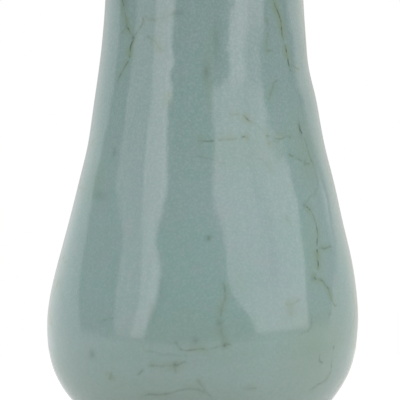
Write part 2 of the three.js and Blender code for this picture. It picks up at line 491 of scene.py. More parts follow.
# %% The foot ring's surface
FOOT_BEVEL = 1.0
FOOT_SLIP = 0.8
TOOL_PITCH = 1.1
TOOL_DEPTH = 0.07
FOOT_COLUMNS = 240
BEVEL_ROWS = 7
RIM_ROWS = 40
SIDE_ROWS = 24


def tooling(distance):
    """Depth of the grooves at a distance over the clay: the full depth times half of 1 - cos."""
    return TOOL_DEPTH * (1 - np.cos(2 * np.pi * distance / TOOL_PITCH)) / 2


rim_radius = np.linspace(ring_inside + FOOT_BEVEL, ring_outside - FOOT_BEVEL, RIM_ROWS)[1:-1]
side_height = np.linspace(FOOT_BEVEL, base_height - FOOT_SLIP, SIDE_ROWS)[1:]
side_depth = tooling(side_height - FOOT_BEVEL)
foot_line = np.concatenate(
    [
        arc((ring_inside + FOOT_BEVEL, FOOT_BEVEL), FOOT_BEVEL, 180, 270, BEVEL_ROWS),
        line_of(rim_radius, tooling(rim_radius - rim_radius[0])),
        arc((ring_outside - FOOT_BEVEL, FOOT_BEVEL), FOOT_BEVEL, -90, 0, BEVEL_ROWS),
        line_of(ring_outside - side_depth, side_height),
        line_of(ring_inside + side_depth, side_height)[::-1],
    ]
)
turned_foot = make_piece("turned_foot", turned(foot_line, azimuths(FOOT_COLUMNS)))
settle(turned_foot, "foot_ring")

# %% [markdown]
# ## The crackle
# As the vase cooled, the glaze shrank more than the clay and cracked, and tea-brown stain crept into
# some of the cracks. A Voronoi texture gives a net of such lines, and it serves for the sides, the back
# and the inside. The lines that face the viewer are placed one by one. Each is a short list of places
# (azimuth in degrees, height in mm) with a darkness. Their distance from every point of the face is
# stored on the mesh with a sign, plus on one side and minus on the other, because a signed distance
# goes evenly through zero and stays sharp between two vertices.

# %% The cracks that face the viewer
# Darkness, and the places that the crack runs through.
CRACKS = [
    # Neck, left
    (1.0, [(-55, 213), (-53.5, 210), (-49.5, 203), (-49, 199), (-48, 198)]),
    (0.5, [(-48, 198), (-53.5, 194)]),
    (1.0, [(-48, 198), (-42, 192.5), (-43, 188.5), (-43.5, 182.5)]),
    (0.7, [(-43.5, 182.5), (-46.5, 179), (-50.5, 174.5), (-52, 171)]),
    (0.6, [(-42, 192.5), (-39, 195), (-37, 197), (-36, 200), (-35, 203)]),
    (0.5, [(-35, 203), (-34, 201.5), (-27.5, 201), (-21.5, 202), (-16.5, 204), (-14, 204)]),
    (0.5, [(-33.5, 194), (-30.5, 192.5), (-27, 190.5), (-24, 187), (-21.5, 186)]),
    (0.4, [(-18.5, 169), (-17.5, 160.5)]),
    # Neck, right
    (1.0, [(40.5, 213), (42, 210), (45.5, 205), (47.5, 200), (48, 195), (49.5, 190.5)]),
    (1.0, [(49.5, 190.5), (51, 186.5), (51.5, 180), (52.5, 176)]),
    (0.6, [(51.5, 180), (58, 178.5), (63.5, 177.5)]),
    (0.4, [(37, 203), (37, 197), (36.5, 191), (35, 186.5)]),
    (0.5, [(32.5, 186.5), (40.5, 186.5)]),
    (0.5, [(42, 173.5), (37.5, 171.5), (35.5, 167.5), (33, 162.5)]),
    # Shoulder
    (0.4, [(1.5, 179.5), (1, 175)]),
    (0.4, [(10.5, 158), (18, 158)]),
    (0.8, [(18, 158), (19.5, 156), (23, 154.5), (25.5, 153)]),
    (0.4, [(25.5, 153), (30.5, 148)]),
    (0.7, [(-5, 146), (4.5, 146)]),
    (0.5, [(4.5, 146), (16, 147)]),
    (0.8, [(16, 147), (21, 146.5)]),
    (0.7, [(28.5, 148), (32, 147.5)]),
    (0.5, [(33.5, 147), (46, 146.5)]),
    (0.6, [(30.5, 146), (30, 142)]),
    (0.3, [(23, 138), (26.5, 136), (32, 130)]),
    (0.3, [(-5.5, 139.5), (3, 137), (8, 135.5), (10, 136)]),
    (0.4, [(34, 112.5), (36.5, 106.5)]),
    # Right side
    (1.0, [(51.5, 153.5), (52.5, 149.5), (54, 147)]),
    (0.6, [(54, 147), (55.5, 144), (56, 139), (58, 134), (59, 128), (58.5, 123)]),
    (0.4, [(58.5, 123), (57, 122), (49.5, 118), (45.5, 115.5)]),
    (0.8, [(45.5, 115.5), (49, 113.5), (51, 108.5), (51, 103), (49, 96)]),
    (1.0, [(49, 96), (48.5, 90), (47, 85)]),
    (0.6, [(40.5, 139.5), (45, 137.5), (51, 134.5), (56.5, 134)]),
    (0.6, [(49, 95.5), (60, 95)]),
    (0.7, [(47, 85), (44, 82.5), (49, 81.5), (52.5, 76), (54, 69), (57.5, 68.5)]),
    (0.5, [(53.5, 67), (50.5, 63.5)]),
    (0.5, [(41.5, 67), (42.5, 62.5), (41, 59), (35.5, 57.5)]),
    (0.5, [(29.5, 72.5), (35.5, 72), (37.5, 74)]),
    (0.4, [(31.5, 70.5), (34, 65.5)]),
    # Belly, right
    (0.6, [(55, 51), (54.5, 47)]),
    (0.6, [(46.5, 47.5), (45.5, 44.5), (49.5, 42)]),
    (0.6, [(54.5, 44), (55, 36), (50, 32), (44.5, 30)]),
    (0.4, [(14.5, 34), (21, 34)]),
    # Belly, middle
    (0.6, [(6.5, 83), (7.5, 77.5), (6.5, 71), (6, 66), (7, 56)]),
    (0.6, [(10.5, 55), (7.5, 55), (3.5, 53.5), (-2.5, 53), (-8, 53), (-10, 57.5)]),
    (0.4, [(-2, 40.5), (0, 35.5), (2, 32), (4.5, 30)]),
    (0.5, [(-24, 30.5), (-17, 31), (-8.5, 33.5), (-1.5, 35), (2, 32)]),
    # Belly, left
    (0.6, [(-19.5, 44.5), (-9.5, 46), (-5, 47.5)]),
    (0.5, [(-9.5, 45), (-9.5, 41)]),
    (0.5, [(-20.5, 43.5), (-24, 39.5)]),
    (0.6, [(-34, 40.5), (-35.5, 36)]),
    (0.4, [(-40.5, 63), (-32.5, 65.5)]),
    (0.3, [(-20.5, 51.5), (-4.5, 50)]),
]
print(f"{len(CRACKS)} cracks are placed")

# %% Each crack as a slightly wavering line on the face
CRACK_STEP = 2.5
CRACK_WAVER = 0.35
CRACK_SEED = 5

waver = np.random.default_rng(CRACK_SEED)


def drawn_crack(places):
    """A crack as (azimuth in radians, distance along the outline): straight stretches cut into short
    steps, each inner point moved a little by a seeded draw."""
    degrees, crack_heights = np.array(places, float).T
    line = np.stack([np.radians(degrees), np.interp(crack_heights, outline[:, 1], along)], axis=-1)
    radius = np.interp(line[:, 1], along, outline[:, 0])
    steps = np.hypot(np.diff(line[:, 0]) * radius[1:], np.diff(line[:, 1]))
    reach = np.append(0, np.cumsum(steps))
    at = np.linspace(0, reach[-1], max(3, int(reach[-1] / CRACK_STEP)))
    fine = looked_up(at, reach, line)
    moved = waver.normal(0, CRACK_WAVER, fine.shape)
    moved[[0, -1]] = 0
    fine[:, 0] += moved[:, 0] / radius.mean()
    fine[:, 1] += moved[:, 1]
    return fine


lines = [drawn_crack(places) for _, places in CRACKS]
print(f"{sum(len(line) for line in lines)} points in all the cracks")


# %% Signed distance from the cracks
CRACK_REACH = 8.0
CRACK_FADE = (0.6 * CRACK_REACH, CRACK_REACH)
CRACK_TAPER = 1.5


def crack_field(line, turn, place, radius):
    """Signed distance in mm from a line, and a share that tapers to 0 at the line's two ends. The
    nearest point of each step is found by projection, then the nearest step; the sign is that of the
    cross product of the step and the way to the point."""
    start_x = radius * (line[None, :-1, 0] - turn)
    start_y = line[None, :-1, 1] - place
    step_x = radius * np.diff(line[:, 0])[None]
    step_y = np.broadcast_to(np.diff(line[:, 1])[None], step_x.shape)
    squared = step_x**2 + step_y**2
    share = np.clip(-(start_x * step_x + start_y * step_y) / squared, 0, 1)
    distance = np.hypot(start_x + share * step_x, start_y + share * step_y)
    nearest = distance.argmin(axis=1)
    pick = (np.arange(len(distance)), nearest)
    side = np.sign(step_y[pick] * start_x[pick] - step_x[pick] * start_y[pick])
    reach = np.cumsum(np.sqrt(squared), axis=1)
    at = reach[pick] - (1 - share[pick]) * np.sqrt(squared[pick])
    ends = smooth_step(at, 0, CRACK_TAPER) * smooth_step(reach[:, -1] - at, 0, CRACK_TAPER)
    return np.where(side == 0, 1, side) * distance[pick], ends


def apart(one, other):
    """Least distance in mm between the points of two lines, at the belly's radius."""
    across = BELLY_RADIUS * (one[:, None, 0] - other[None, :, 0])
    return np.hypot(across, one[:, None, 1] - other[None, :, 1]).min()


# Cracks that lie close together go to different channels, so that their distances don't mix.
channels = []
for number, line in enumerate(lines):
    rooms = [min(apart(line, lines[other]) for other in held) for held in channels]
    free = [channel for channel, room in enumerate(rooms) if room > 2 * CRACK_REACH]
    if free:
        channels[free[0]].append(number)
    else:
        channels.append([number])
print(f"{len(channels)} channels hold {[len(held) for held in channels]} cracks")

# %% The distances stored on the outer glaze
turn_grid, place_grid, radius_grid = (
    values.ravel() for values in np.broadcast_arrays(azimuth, face_places[:, None], face_radius)
)
vertex_count = len(glaze_outside.data.vertices)


def store(piece, name, kind, values):
    """Puts one value for each vertex on a piece, as an attribute of that kind."""
    attribute = piece.data.attributes.new(name, kind, "POINT")
    field = "vector" if kind == "FLOAT_VECTOR" else "value"
    attribute.data.foreach_set(field, np.asarray(values, np.float32).ravel())


side_of = np.full((vertex_count, 3 * math.ceil(len(channels) / 3)), CRACK_REACH)
ink_of = np.zeros_like(side_of)
for channel, held in enumerate(channels):
    for number in held:
        line = lines[number]
        middle_turn = (line[:, 0].min() + line[:, 0].max()) / 2
        room = CRACK_REACH / radius_grid + np.ptp(line[:, 0]) / 2
        near = np.abs(turn_grid - middle_turn) < room
        near &= place_grid > line[:, 1].min() - CRACK_REACH
        near &= place_grid < line[:, 1].max() + CRACK_REACH
        chosen = np.flatnonzero(near)
        distance, ends = crack_field(
            line, turn_grid[near, None], place_grid[near, None], radius_grid[near, None]
        )
        closer = np.abs(distance) < np.abs(side_of[chosen, channel])
        side_of[chosen[closer], channel] = distance[closer]
        fade = 1 - smooth_step(np.abs(distance), *CRACK_FADE)
        ink_of[chosen[closer], channel] = (CRACKS[number][0] * ends * fade)[closer]
CRACK_SETS = side_of.shape[1] // 3
for k in range(CRACK_SETS):
    store(glaze_outside, f"crack_side_{k}", "FLOAT_VECTOR", side_of[:, 3 * k : 3 * k + 3])
    store(glaze_outside, f"crack_ink_{k}", "FLOAT_VECTOR", ink_of[:, 3 * k : 3 * k + 3])
print(f"{int((ink_of.max(axis=1) > 0).sum())} vertices lie near a crack")

# %% [markdown]
# ## Stains and the share of the net
# Where cracks meet, the stain has soaked into small dark spots and short smears, and round some of them
# the glaze is an olive haze. Noise would spread these evenly, so they are bell curves on the face, listed
# one by one. A third number says how much of the Voronoi net shows: none in front, where each crack is
# placed, and all of it round the sides and the back.

# %% Spots, hazes and the net's share
# Azimuth in degrees, height, half-width and half-height in mm, strength.
STAINS = [
    (1, 102.5, 0.9, 0.9, 0.7),
    (7.5, 55, 1.0, 1.0, 0.75),
    (-2.5, 57, 1.0, 1.2, 0.5),
    (45.5, 115.5, 0.9, 0.9, 0.6),
    (-42, 192.5, 1.0, 1.0, 0.7),
    (-48, 198, 0.9, 1.5, 0.6),
    (44, 82.5, 0.9, 0.9, 0.5),
    (52.3, 150.5, 0.7, 2.5, 0.7),
    (51.5, 134.5, 0.9, 0.9, 0.6),
    (-9.5, 46, 0.9, 0.9, 0.7),
    (-42.5, 47.5, 1.5, 1.5, 0.5),
    (-48, 139.5, 0.9, 1.5, 0.5),
    (5.5, 65, 1.2, 1.5, 0.5),
    (-53.5, 119.5, 4.0, 1.5, 0.35),
    (-52, 209, 3.0, 3.0, 0.45),
    (6.5, 192, 1.5, 7.0, 0.4),
    (1, 177, 1.2, 3.0, 0.5),
    (33, 69, 4.0, 3.0, 0.2),
    (-14.5, 204, 2.5, 1.2, 0.35),
    (-18.5, 70, 1.5, 3.0, 0.3),
    (-16, 79, 1.2, 4.0, 0.25),
]
HAZES = [
    (44, 52, 15, 14, 0.5),
    (5, 56, 28, 10, 0.2),
    (-8, 26, 28, 9, 0.28),
    (20, 141, 20, 7, 0.2),
    (53, 138, 6, 14, 0.4),
    (48, 92, 6, 16, 0.35),
    (-44, 190, 3, 8, 0.25),
    (46, 204, 3, 9, 0.3),
    (2, 176, 1.5, 14, 0.3),
    (-58, 125, 5, 5, 0.3),
]
NET_EDGE = (64, 76)
NET_LIP = (212, 224)


def blots(listed):
    """Strongest of the listed bell curves at each vertex: across by the arc in mm, up by the height."""
    strongest = np.zeros((FACE_ROWS, COLUMNS))
    for degrees, middle, half_width, half_height, strength in listed:
        across = face_radius * (azimuth - np.radians(degrees))
        blot = strength * bell(across, half_width) * bell(face_height - middle, half_height)
        strongest = np.maximum(strongest, blot)
    return np.append(strongest, np.zeros(vertex_count - strongest.size))


store(glaze_outside, "stain", "FLOAT", blots(STAINS))
store(glaze_outside, "haze", "FLOAT", blots(HAZES))
at_side = smooth_step(np.abs(np.degrees(azimuth)), *NET_EDGE)
net_of = np.ones((vertex_count // COLUMNS, COLUMNS))
net_of[:FACE_ROWS] = np.maximum(at_side, smooth_step(face_height, *NET_LIP))
store(glaze_outside, "net_share", "FLOAT", net_of)
print(f"{len(STAINS)} stains, {len(HAZES)} hazes, net on {net_of.mean():.0%} of the outer glaze")

# %% [markdown]
# ## Nodes and colours
# Every finish below is a small tree of nodes. One helper fills the inputs of a node, with a value or
# from another node, and one adds a node and sets its options. Colours are written as sRGB hex codes, as
# a colour picker shows them, and one function turns them into the linear numbers that Blender counts in.


# %% Helpers for the finishes
def fill(tree, node, sockets):
    """Gives each input of a node its value or the output that feeds it. A node stands for its first
    output."""
    for key, value in sockets.items():
        if isinstance(value, bpy.types.Node):
            value = value.outputs[0]
        if isinstance(value, bpy.types.NodeSocket):
            tree.links.new(value, node.inputs[key])
        else:
            node.inputs[key].default_value = value


def add(tree, kind, sockets=None, **settings):
    """Adds a node of a kind: settings are its options, and sockets fills its inputs."""
    node = tree.nodes.new("ShaderNode" + kind)
    for name, value in settings.items():
        setattr(node, name, value)
    fill(tree, node, sockets or {})
    return node


def colour(code):
    """Linear RGBA of an sRGB hex code: c/12.92 up to 0.04045, else ((c + 0.055)/1.055) to the 2.4th."""
    shares = np.array([int(code[k : k + 2], 16) for k in (1, 3, 5)]) / 255
    linear = np.where(shares <= 0.04045, shares / 12.92, ((shares + 0.055) / 1.055) ** 2.4)
    return (*linear.tolist(), 1.0)


def per_mm(size):
    """Scale of a texture on Object coordinates, which are metres, whose pattern is that many mm wide."""
    return 1 / (size * MM)


def new_finish(name):
    """A material with its tree and its shader."""
    material = bpy.data.materials.new(name)
    material.use_nodes = True
    tree = material.node_tree
    return material, tree, tree.nodes["Principled BSDF"]


print(f"a middle grey is {colour('#808080')[0]:.3f} in linear numbers")

# %% [markdown]
# ## Celadon glaze
# Celadon is a lime glaze with a little iron, fired with too little air, so the iron turns blue-green. It
# is glass, with an IOR of about 1.6, and nearly smooth. Tiny bubbles give it a soft milky depth, and it
# drifts slowly between blue, green and mauve where the skin is thicker or thinner. It is deeper in tone
# towards the neck and buff where it thins over the lip. On the low belly it is paler and warmer,
# partly its own warmer tone and partly painted light from the paper below. The crackle is a
# tea-coloured line with a darker middle and a patchy olive halo. Its net is a warped Voronoi texture
# with cells about 30 mm wide. Each of these is a coat of one colour with its own share, laid over the
# last one like paint, and a table keeps the coats in order.

# %% Shares of the coats
NET_CELL = 30.0
NET_BEND = 12.0
NET_BEND_SIZE = 18.0


def patches(tree, place, size, low, high, least=0.0, most=1.0):
    """Share of a patchy coat: a noise about size mm wide, least below low and most above high."""
    noise = add(tree, "TexNoise", {"Vector": place, "Scale": per_mm(size), "Detail": 3.0})
    sockets = {"Value": noise, "From Min": low, "From Max": high}
    sockets |= {"To Min": least, "To Max": most}
    return add(tree, "MapRange", sockets, interpolation_type="SMOOTHSTEP")


def by_height(tree, place, low, high, at_low, at_high):
    """Share of a coat that changes with the height: at_low up to low mm and at_high from high mm."""
    height = add(tree, "SeparateXYZ", {0: place}).outputs["Z"]
    sockets = {"Value": height, "From Min": low * MM, "From Max": high * MM}
    sockets |= {"To Min": at_low, "To Max": at_high}
    return add(tree, "MapRange", sockets, interpolation_type="SMOOTHSTEP")


def beside(tree, away, half):
    """1 on a line and 0 from half its width away, for a distance with or without a sign."""
    near = add(tree, "Math", {0: away}, operation="ABSOLUTE")
    sockets = {"Value": near, "From Max": half, "To Min": 1.0, "To Max": 0.0}
    return add(tree, "MapRange", sockets, interpolation_type="SMOOTHSTEP")


def placed_cracks(tree, half):
    """Darkness of the placed cracks: for each channel, the line of that half width times its ink; the
    darkest channel wins."""
    darkest = 0.0
    for k in range(CRACK_SETS):
        sides = add(tree, "Attribute", attribute_name=f"crack_side_{k}").outputs["Vector"]
        inks = add(tree, "Attribute", attribute_name=f"crack_ink_{k}").outputs["Vector"]
        side_parts = add(tree, "SeparateXYZ", {0: sides}).outputs
        ink_parts = add(tree, "SeparateXYZ", {0: inks}).outputs
        for side, ink in zip(side_parts, ink_parts):
            line = beside(tree, side, half)
            dark = add(tree, "Math", {0: line, 1: ink}, operation="MULTIPLY")
            darkest = add(tree, "Math", {0: dark, 1: darkest}, operation="MAXIMUM")
    return darkest


def net_distance(tree, place):
    """Distance in mm from the nearest line of the net: from a Voronoi cell's edge, on coordinates that
    a noise has moved by up to half of NET_BEND each way."""
    sockets = {"Vector": place, "Scale": per_mm(NET_BEND_SIZE), "Detail": 3.0}
    bend = add(tree, "TexNoise", sockets).outputs["Color"]
    centred = add(tree, "VectorMath", {0: bend, 1: (0.5, 0.5, 0.5)}, operation="SUBTRACT")
    sockets = {0: centred, 1: [NET_BEND * MM] * 3, 2: place}
    moved = add(tree, "VectorMath", sockets, operation="MULTIPLY_ADD")
    sockets = {"Vector": moved, "Scale": per_mm(NET_CELL)}
    cells = add(tree, "TexVoronoi", sockets, feature="DISTANCE_TO_EDGE")
    return add(tree, "Math", {0: cells, 1: NET_CELL}, operation="MULTIPLY")


def coated(tree, tone, coats):
    """A tone under coats of colour, each a share and a hex code, the last one on top."""
    for share, code in coats:
        sockets = {0: share, 6: tone, 7: colour(code)}
        tone = add(tree, "Mix", sockets, data_type="RGBA").outputs[2]
    return tone


print("patches, heights and lines can share out a coat")

# %% The celadon finish
GLAZE_TONE = "#82A09D"
MAUVE = "#8A9E9E"
# What gives a coat its share, with its numbers, and the coat's tone.
COATS = {
    "green drift": (patches, (45, 0.35, 0.65), "#7DA19A"),
    "mauve drift": (patches, (12, 0.52, 0.72, 0.0, 0.6), MAUVE),
    "moss drift": (patches, (18, 0.52, 0.72, 0.0, 0.6), "#809F95"),
    "milk": (patches, (5, 0.4, 0.75, 0.0, 0.4), "#8BA5A3"),
    "deeper neck": (by_height, (75, 190, 0.0, 0.43), "#76918D"),
    # Paler and warmer on the low belly: partly the glaze's own tone, partly painted light from the paper
    # below.
    "warmer low belly and painted paper light": (by_height, (2, 78, 0.8, 0.0), "#9FB3AA"),
    "specks": (patches, (1.6, 0.4, 0.7, 0.0, 0.4), MAUVE),
    "bubbles": (patches, (1.0, 0.4, 0.7, 0.0, 0.4), "#96B0AD"),
    "thin lip": (by_height, (240, 245, 0.0, 0.6), "#A59C84"),
}
# Half width in mm on the net and on placed cracks, the patches it fades in, and the blots it takes up.
LINE = (0.9, 1.05, (3, 0.36, 0.64, 0.25, 0.9), "stain")
HALO = (4.0, 5.0, (9, 0.35, 0.65, 0.3, 1.0), "haze")
NET_PATCHES = (35, 0.38, 0.62, 0.0, 0.65)
HALO_TONE = "#7E9681"
LINE_TONE = "#688275"
MIDDLE_TONE = "#53675F"
MIDDLE_FROM = 0.35
MIDDLE_FULL = 0.85
MIDDLE_SHARE = 0.9
GLAZE_IOR = 1.6
GLAZE_ROUGHNESS = 0.09
PEEL_SIZE = 6.0
PEEL_DEPTH = 0.03


def celadon(name, traced):
    """The glaze's finish. traced says whether the piece carries placed cracks and stains."""
    material, tree, shader = new_finish(name)
    place = add(tree, "TexCoord").outputs["Object"]
    net = net_distance(tree, place)
    net_shown = patches(tree, place, *NET_PATCHES)
    if traced:
        share = add(tree, "Attribute", attribute_name="net_share").outputs["Fac"]
        net_shown = add(tree, "Math", {0: net_shown, 1: share}, operation="MULTIPLY")
    marks = []
    for net_half, half, fading, blot in (LINE, HALO):
        on_net = beside(tree, net, net_half)
        mark = add(tree, "Math", {0: on_net, 1: net_shown}, operation="MULTIPLY")
        if traced:
            mark = add(tree, "Math", {0: mark, 1: placed_cracks(tree, half)}, operation="MAXIMUM")
        mark = add(tree, "Math", {0: mark, 1: patches(tree, place, *fading)}, operation="MULTIPLY")
        if traced:
            soaked = add(tree, "Attribute", attribute_name=blot).outputs["Fac"]
            mark = add(tree, "Math", {0: mark, 1: soaked}, operation="MAXIMUM")
        marks.append(mark)
    line, halo = marks
    sockets = {"Value": line, "From Min": MIDDLE_FROM, "From Max": MIDDLE_FULL, "To Max": MIDDLE_SHARE}
    middle = add(tree, "MapRange", sockets, interpolation_type="SMOOTHSTEP")
    coats = [(share_of(tree, place, *numbers), code) for share_of, numbers, code in COATS.values()]
    coats += [(halo, HALO_TONE), (line, LINE_TONE), (middle, MIDDLE_TONE)]
    tone = coated(tree, colour(GLAZE_TONE), coats)
    peel = patches(tree, place, PEEL_SIZE, 0.0, 1.0)
    cracked = add(tree, "Math", {0: peel, 1: line}, operation="SUBTRACT")
    bump = add(tree, "Bump", {"Height": cracked, "Distance": PEEL_DEPTH * MM})
    sockets = {"Base Color": tone, "Roughness": GLAZE_ROUGHNESS, "IOR": GLAZE_IOR, "Normal": bump}
    fill(tree, shader, sockets)
    return material


glaze_outside.data.materials.append(celadon("celadon_glaze_dipped", traced=True))
poured = celadon("celadon_glaze_poured", traced=False)
glaze_inside.data.materials.append(poured)
glaze_in_the_well.data.materials.append(poured)
print("under the crackle lie", ", ".join(COATS))

# %% [markdown]
# ## Fired clay
# The foot is stoneware, turned and left bare. Where the kiln's flame met it, iron in the clay came to
# the surface as an orange-brown flash with dark grains. The clay under the glaze is the same body
# without the flash, and the slip in its seams is a finer, paler mix. All three are two tones that
# drift into each other, with grains of a darker one, so one function makes them.

# %% The clay finishes
CLAY_DRIFT = 14.0
DRIFT_FROM = 0.3
DRIFT_FULL = 0.7
GRAINS = (0.56, 0.7, 0.0, 0.7)
GRAIN_STRENGTH = 0.6
GRAIN_DEPTH = 0.15


def fired_clay(name, tones, grain, grain_tone, roughness):
    """Bare clay: a slow drift between two tones, with grains of a third one of the given size in mm."""
    material, tree, shader = new_finish(name)
    place = add(tree, "TexCoord").outputs["Object"]
    sockets = {"Vector": place, "Scale": per_mm(CLAY_DRIFT), "Detail": 4.0}
    drift = add(tree, "TexNoise", sockets)
    sockets = {"Value": drift, "From Min": DRIFT_FROM, "From Max": DRIFT_FULL}
    drifted = add(tree, "MapRange", sockets)
    coats = [(drifted, tones[1]), (patches(tree, place, grain, *GRAINS), grain_tone)]
    tone = coated(tree, colour(tones[0]), coats)
    sockets = {"Vector": place, "Scale": per_mm(grain), "Detail": 3.0}
    raised = add(tree, "TexNoise", sockets)
    sockets = {"Height": raised, "Strength": GRAIN_STRENGTH, "Distance": GRAIN_DEPTH * MM}
    bump = add(tree, "Bump", sockets)
    fill(tree, shader, {"Base Color": tone, "Roughness": roughness, "Normal": bump})
    return material


flashed = fired_clay("iron_flashed_stoneware_turned", ("#7E5236", "#9A6A48"), 0.9, "#4A3326", 0.85)
turned_foot.data.materials.append(flashed)
thrown = fired_clay("stoneware_thrown", ("#97846F", "#A28E78"), 1.1, "#6E5C4B", 0.9)
luting = fired_clay("luting_slip_brushed", ("#B1A28D", "#BAAC98"), 0.7, "#94836C", 0.95)
packed_finishes = dict.fromkeys(("lower_body", "upper_body", "neck"), thrown)
packed_finishes |= dict.fromkeys(("foot_slip", "belly_slip", "neck_slip"), luting)
for node, finish in packed_finishes.items():
    for material_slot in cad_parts[node].material_slots:
        material_slot.material = finish
print("clay on", ", ".join(packed_finishes))

# %% [markdown]
# ## The studio
# A glossy glaze shows the room it stands in, so the room is part of the likeness. The vase stands on
# pale paper in a white room. Two tall windows light it from the left and the right of the viewer, with
# curtains that hang in faint folds and are drawn back unevenly, and a box on the right sill. Pale walls
# stand beside the vase. The wall behind the viewer is darker, most of all high up in its corners. Area
# lamps could stand for the windows, but their edges are hard and straight. So windows and walls are
# cards on upright cylinders round the vase. Their edges are lists of corners, and their glow is stored
# on their mesh. The camera doesn't see the cards.

# %% Cards that glow
CARD_COLUMNS = 80


def course(*corners):
    """A value that runs straight from corner to corner, each (place, value), and is level past the ends."""
    places, values = np.array(corners, float).T
    return lambda place: np.interp(place, places, values)


def card(name, distance, rows, edges, tint, glow, columns=CARD_COLUMNS, lamp=False):
    """A card on an upright cylinder. At each height of rows, in mm, the azimuth runs between the two
    edges, in degrees. glow(azimuth, height) is its brightness. Rays are aimed at a card that is a
    lamp, and they meet any other card only by chance."""
    height = np.asarray(rows, float)[:, None]
    left, right = (edge(height) for edge in edges)
    turn = left + (right - left) * np.linspace(0, 1, columns)[None, :]
    grid = turned(line_of(distance, height + 0 * turn), np.radians(turn))
    quads = quads_between(len(height), columns, closed=False).reshape(-1, columns, 4)[:, :-1]
    piece = into_scene(name, grid.reshape(-1, 3), quads.reshape(-1, 4).tolist())
    store(piece, "glow", "FLOAT", np.broadcast_to(glow(turn, height), turn.shape))
    material, tree, _ = new_finish(name)
    tree.nodes.clear()
    stored = add(tree, "Attribute", attribute_name="glow").outputs["Fac"]
    light = add(tree, "Emission", {"Color": colour(tint), "Strength": stored})
    add(tree, "OutputMaterial", {"Surface": light})
    material.cycles.emission_sampling = "AUTO" if lamp else "NONE"
    piece.data.materials.append(material)
    piece.visible_camera = False
    print(f"{name}: azimuth {turn.min():.0f} to {turn.max():.0f}, {np.ptp(height):.0f} mm high")


# %% The walls of the room
WALL_DISTANCE = 3000.0
WALL_MIDDLE = 110.0
WALL_RISE = (-14, 45)
WALL_ROWS = 60
WALL_COLUMNS = 241
WALL_TINT = "#FFFFFF"
TABLE_GLOW = 1.05
TABLE_AHEAD = 4.0
TABLE_ASIDE = 1.0
TABLE_TURN = (20, 60)
TABLE_FADE = 8.0
TABLE_ENDS = (100, 140)
CORNER_STARTS = (60, 80)
CORNER_ENDS = (110, 120)
CORNER_RISE = (15, 22)
LEFT_CORNER = 0.15
RIGHT_CORNER = 0.6

# Brightness by azimuth, once round the room.
bare_wall = course(
    (-180, 0.65), (-160, 0.70), (-150, 0.85), (-140, 1.10), (-128, 1.15), (-120, 0.45),
    (120, 0.45), (130, 1.05), (140, 1.00), (150, 0.83), (160, 0.70), (180, 0.65),
)


def wall_glow(turn, height):
    """The bare wall's brightness. In front, it passes to that of the table some degrees below the
    horizon, later straight ahead. High up in the corners, mostly on the right, it is dimmer."""
    aside = np.abs(turn)
    drop = -np.degrees(np.arctan2(height - WALL_MIDDLE, WALL_DISTANCE))
    start = TABLE_AHEAD + (TABLE_ASIDE - TABLE_AHEAD) * smooth_step(aside, *TABLE_TURN)
    table = smooth_step(drop - start, 0, TABLE_FADE) * (1 - smooth_step(aside, *TABLE_ENDS))
    corner = smooth_step(aside, *CORNER_STARTS) * (1 - smooth_step(aside, *CORNER_ENDS))
    dim = np.where(turn > 0, RIGHT_CORNER, LEFT_CORNER) * corner * smooth_step(-drop, *CORNER_RISE)
    bare = bare_wall(turn)
    return bare * (1 - dim) + np.maximum(TABLE_GLOW - bare, 0) * table


wall_rows = WALL_MIDDLE + WALL_DISTANCE * np.tan(np.radians(np.linspace(*WALL_RISE, WALL_ROWS)))
all_round = course((0, -180)), course((0, 180))
card("studio_wall", WALL_DISTANCE, wall_rows, all_round, WALL_TINT, wall_glow, WALL_COLUMNS)

# %% The two windows
WINDOW_DISTANCE = 240.0
WINDOW_TINT = "#FBF2F5"
WINDOW_GLOW = 2.6
WINDOW_SILL = (46, 60)
WINDOW_TOP = 257
FINE_ROWS_FROM = 190
SOFT = 1.4
FOLD_DEPTH = 0.05
FOLD_WIDTHS = (5.3, 8.7)
CURTAIN_GLOW = 0.12
CURTAIN_INSET = 5.0
CURTAIN_HALF = 2.5
BAR_HALF = 3.0

# Rows every 2 mm, and every half millimetre higher up, where the edges turn sharply.
window_rows = np.append(
    np.arange(WINDOW_SILL[0], FINE_ROWS_FROM, 2), np.arange(FINE_ROWS_FROM, WINDOW_TOP, 0.5)
)
# Azimuth of each edge by height.
left_outer = course(
    (56, -54), (75, -55.8), (112, -58.7), (136, -61), (152, -62.7), (158, -64), (162, -66.3), (165, -71),
    (168, -74), (169, -79), (172, -82.5), (179, -82.4), (184, -79), (201, -79), (225, -77.5), (229, -75),
)
left_pane = course(
    (56, -44), (79, -42.7), (117, -40.8), (141, -44), (157, -46.7), (170, -50), (181, -51), (192, -54),
    (200, -52), (206, -50), (216, -50.8), (229, -51),
)
left_inner = course(
    (56, -36), (81, -34), (101, -31.5), (116, -29.8), (140, -30), (150, -31), (159, -35), (166, -37.4),
    (174, -36.5), (182, -34.5), (194, -31), (199, -30.5), (203, -34), (207, -33), (213, -30),
    (222, -31), (227, -28.5), (230, -31.5), (236, -33),
)
right_inner = course(
    (50, 33), (71, 32), (93, 26.8), (111, 20.7), (127, 16.4), (140, 14.8), (161, 14.6), (170, 12.9),
    (178, 12.6), (186, 8.7), (192, 6), (197, 3.5), (200, 3.6), (204, 6.5), (210, 7.5), (214, 8),
    (217, 5), (221, 15), (226, 23), (229, 24.5), (231, 26), (233, 32),
)
right_bar = course((110, 45), (150, 48), (170, 46), (188, 42), (206, 39), (214, 37.5), (222, 40), (229, 45))
right_outer = course(
    (54, 70), (90, 70), (112, 71.5), (133, 73.6), (150, 75), (165, 77.7), (184, 75.4), (190, 76.8),
    (195, 73), (199, 68), (205, 60.5), (210, 57.5), (218, 59), (220, 60), (222, 64.2), (229, 65.6),
)
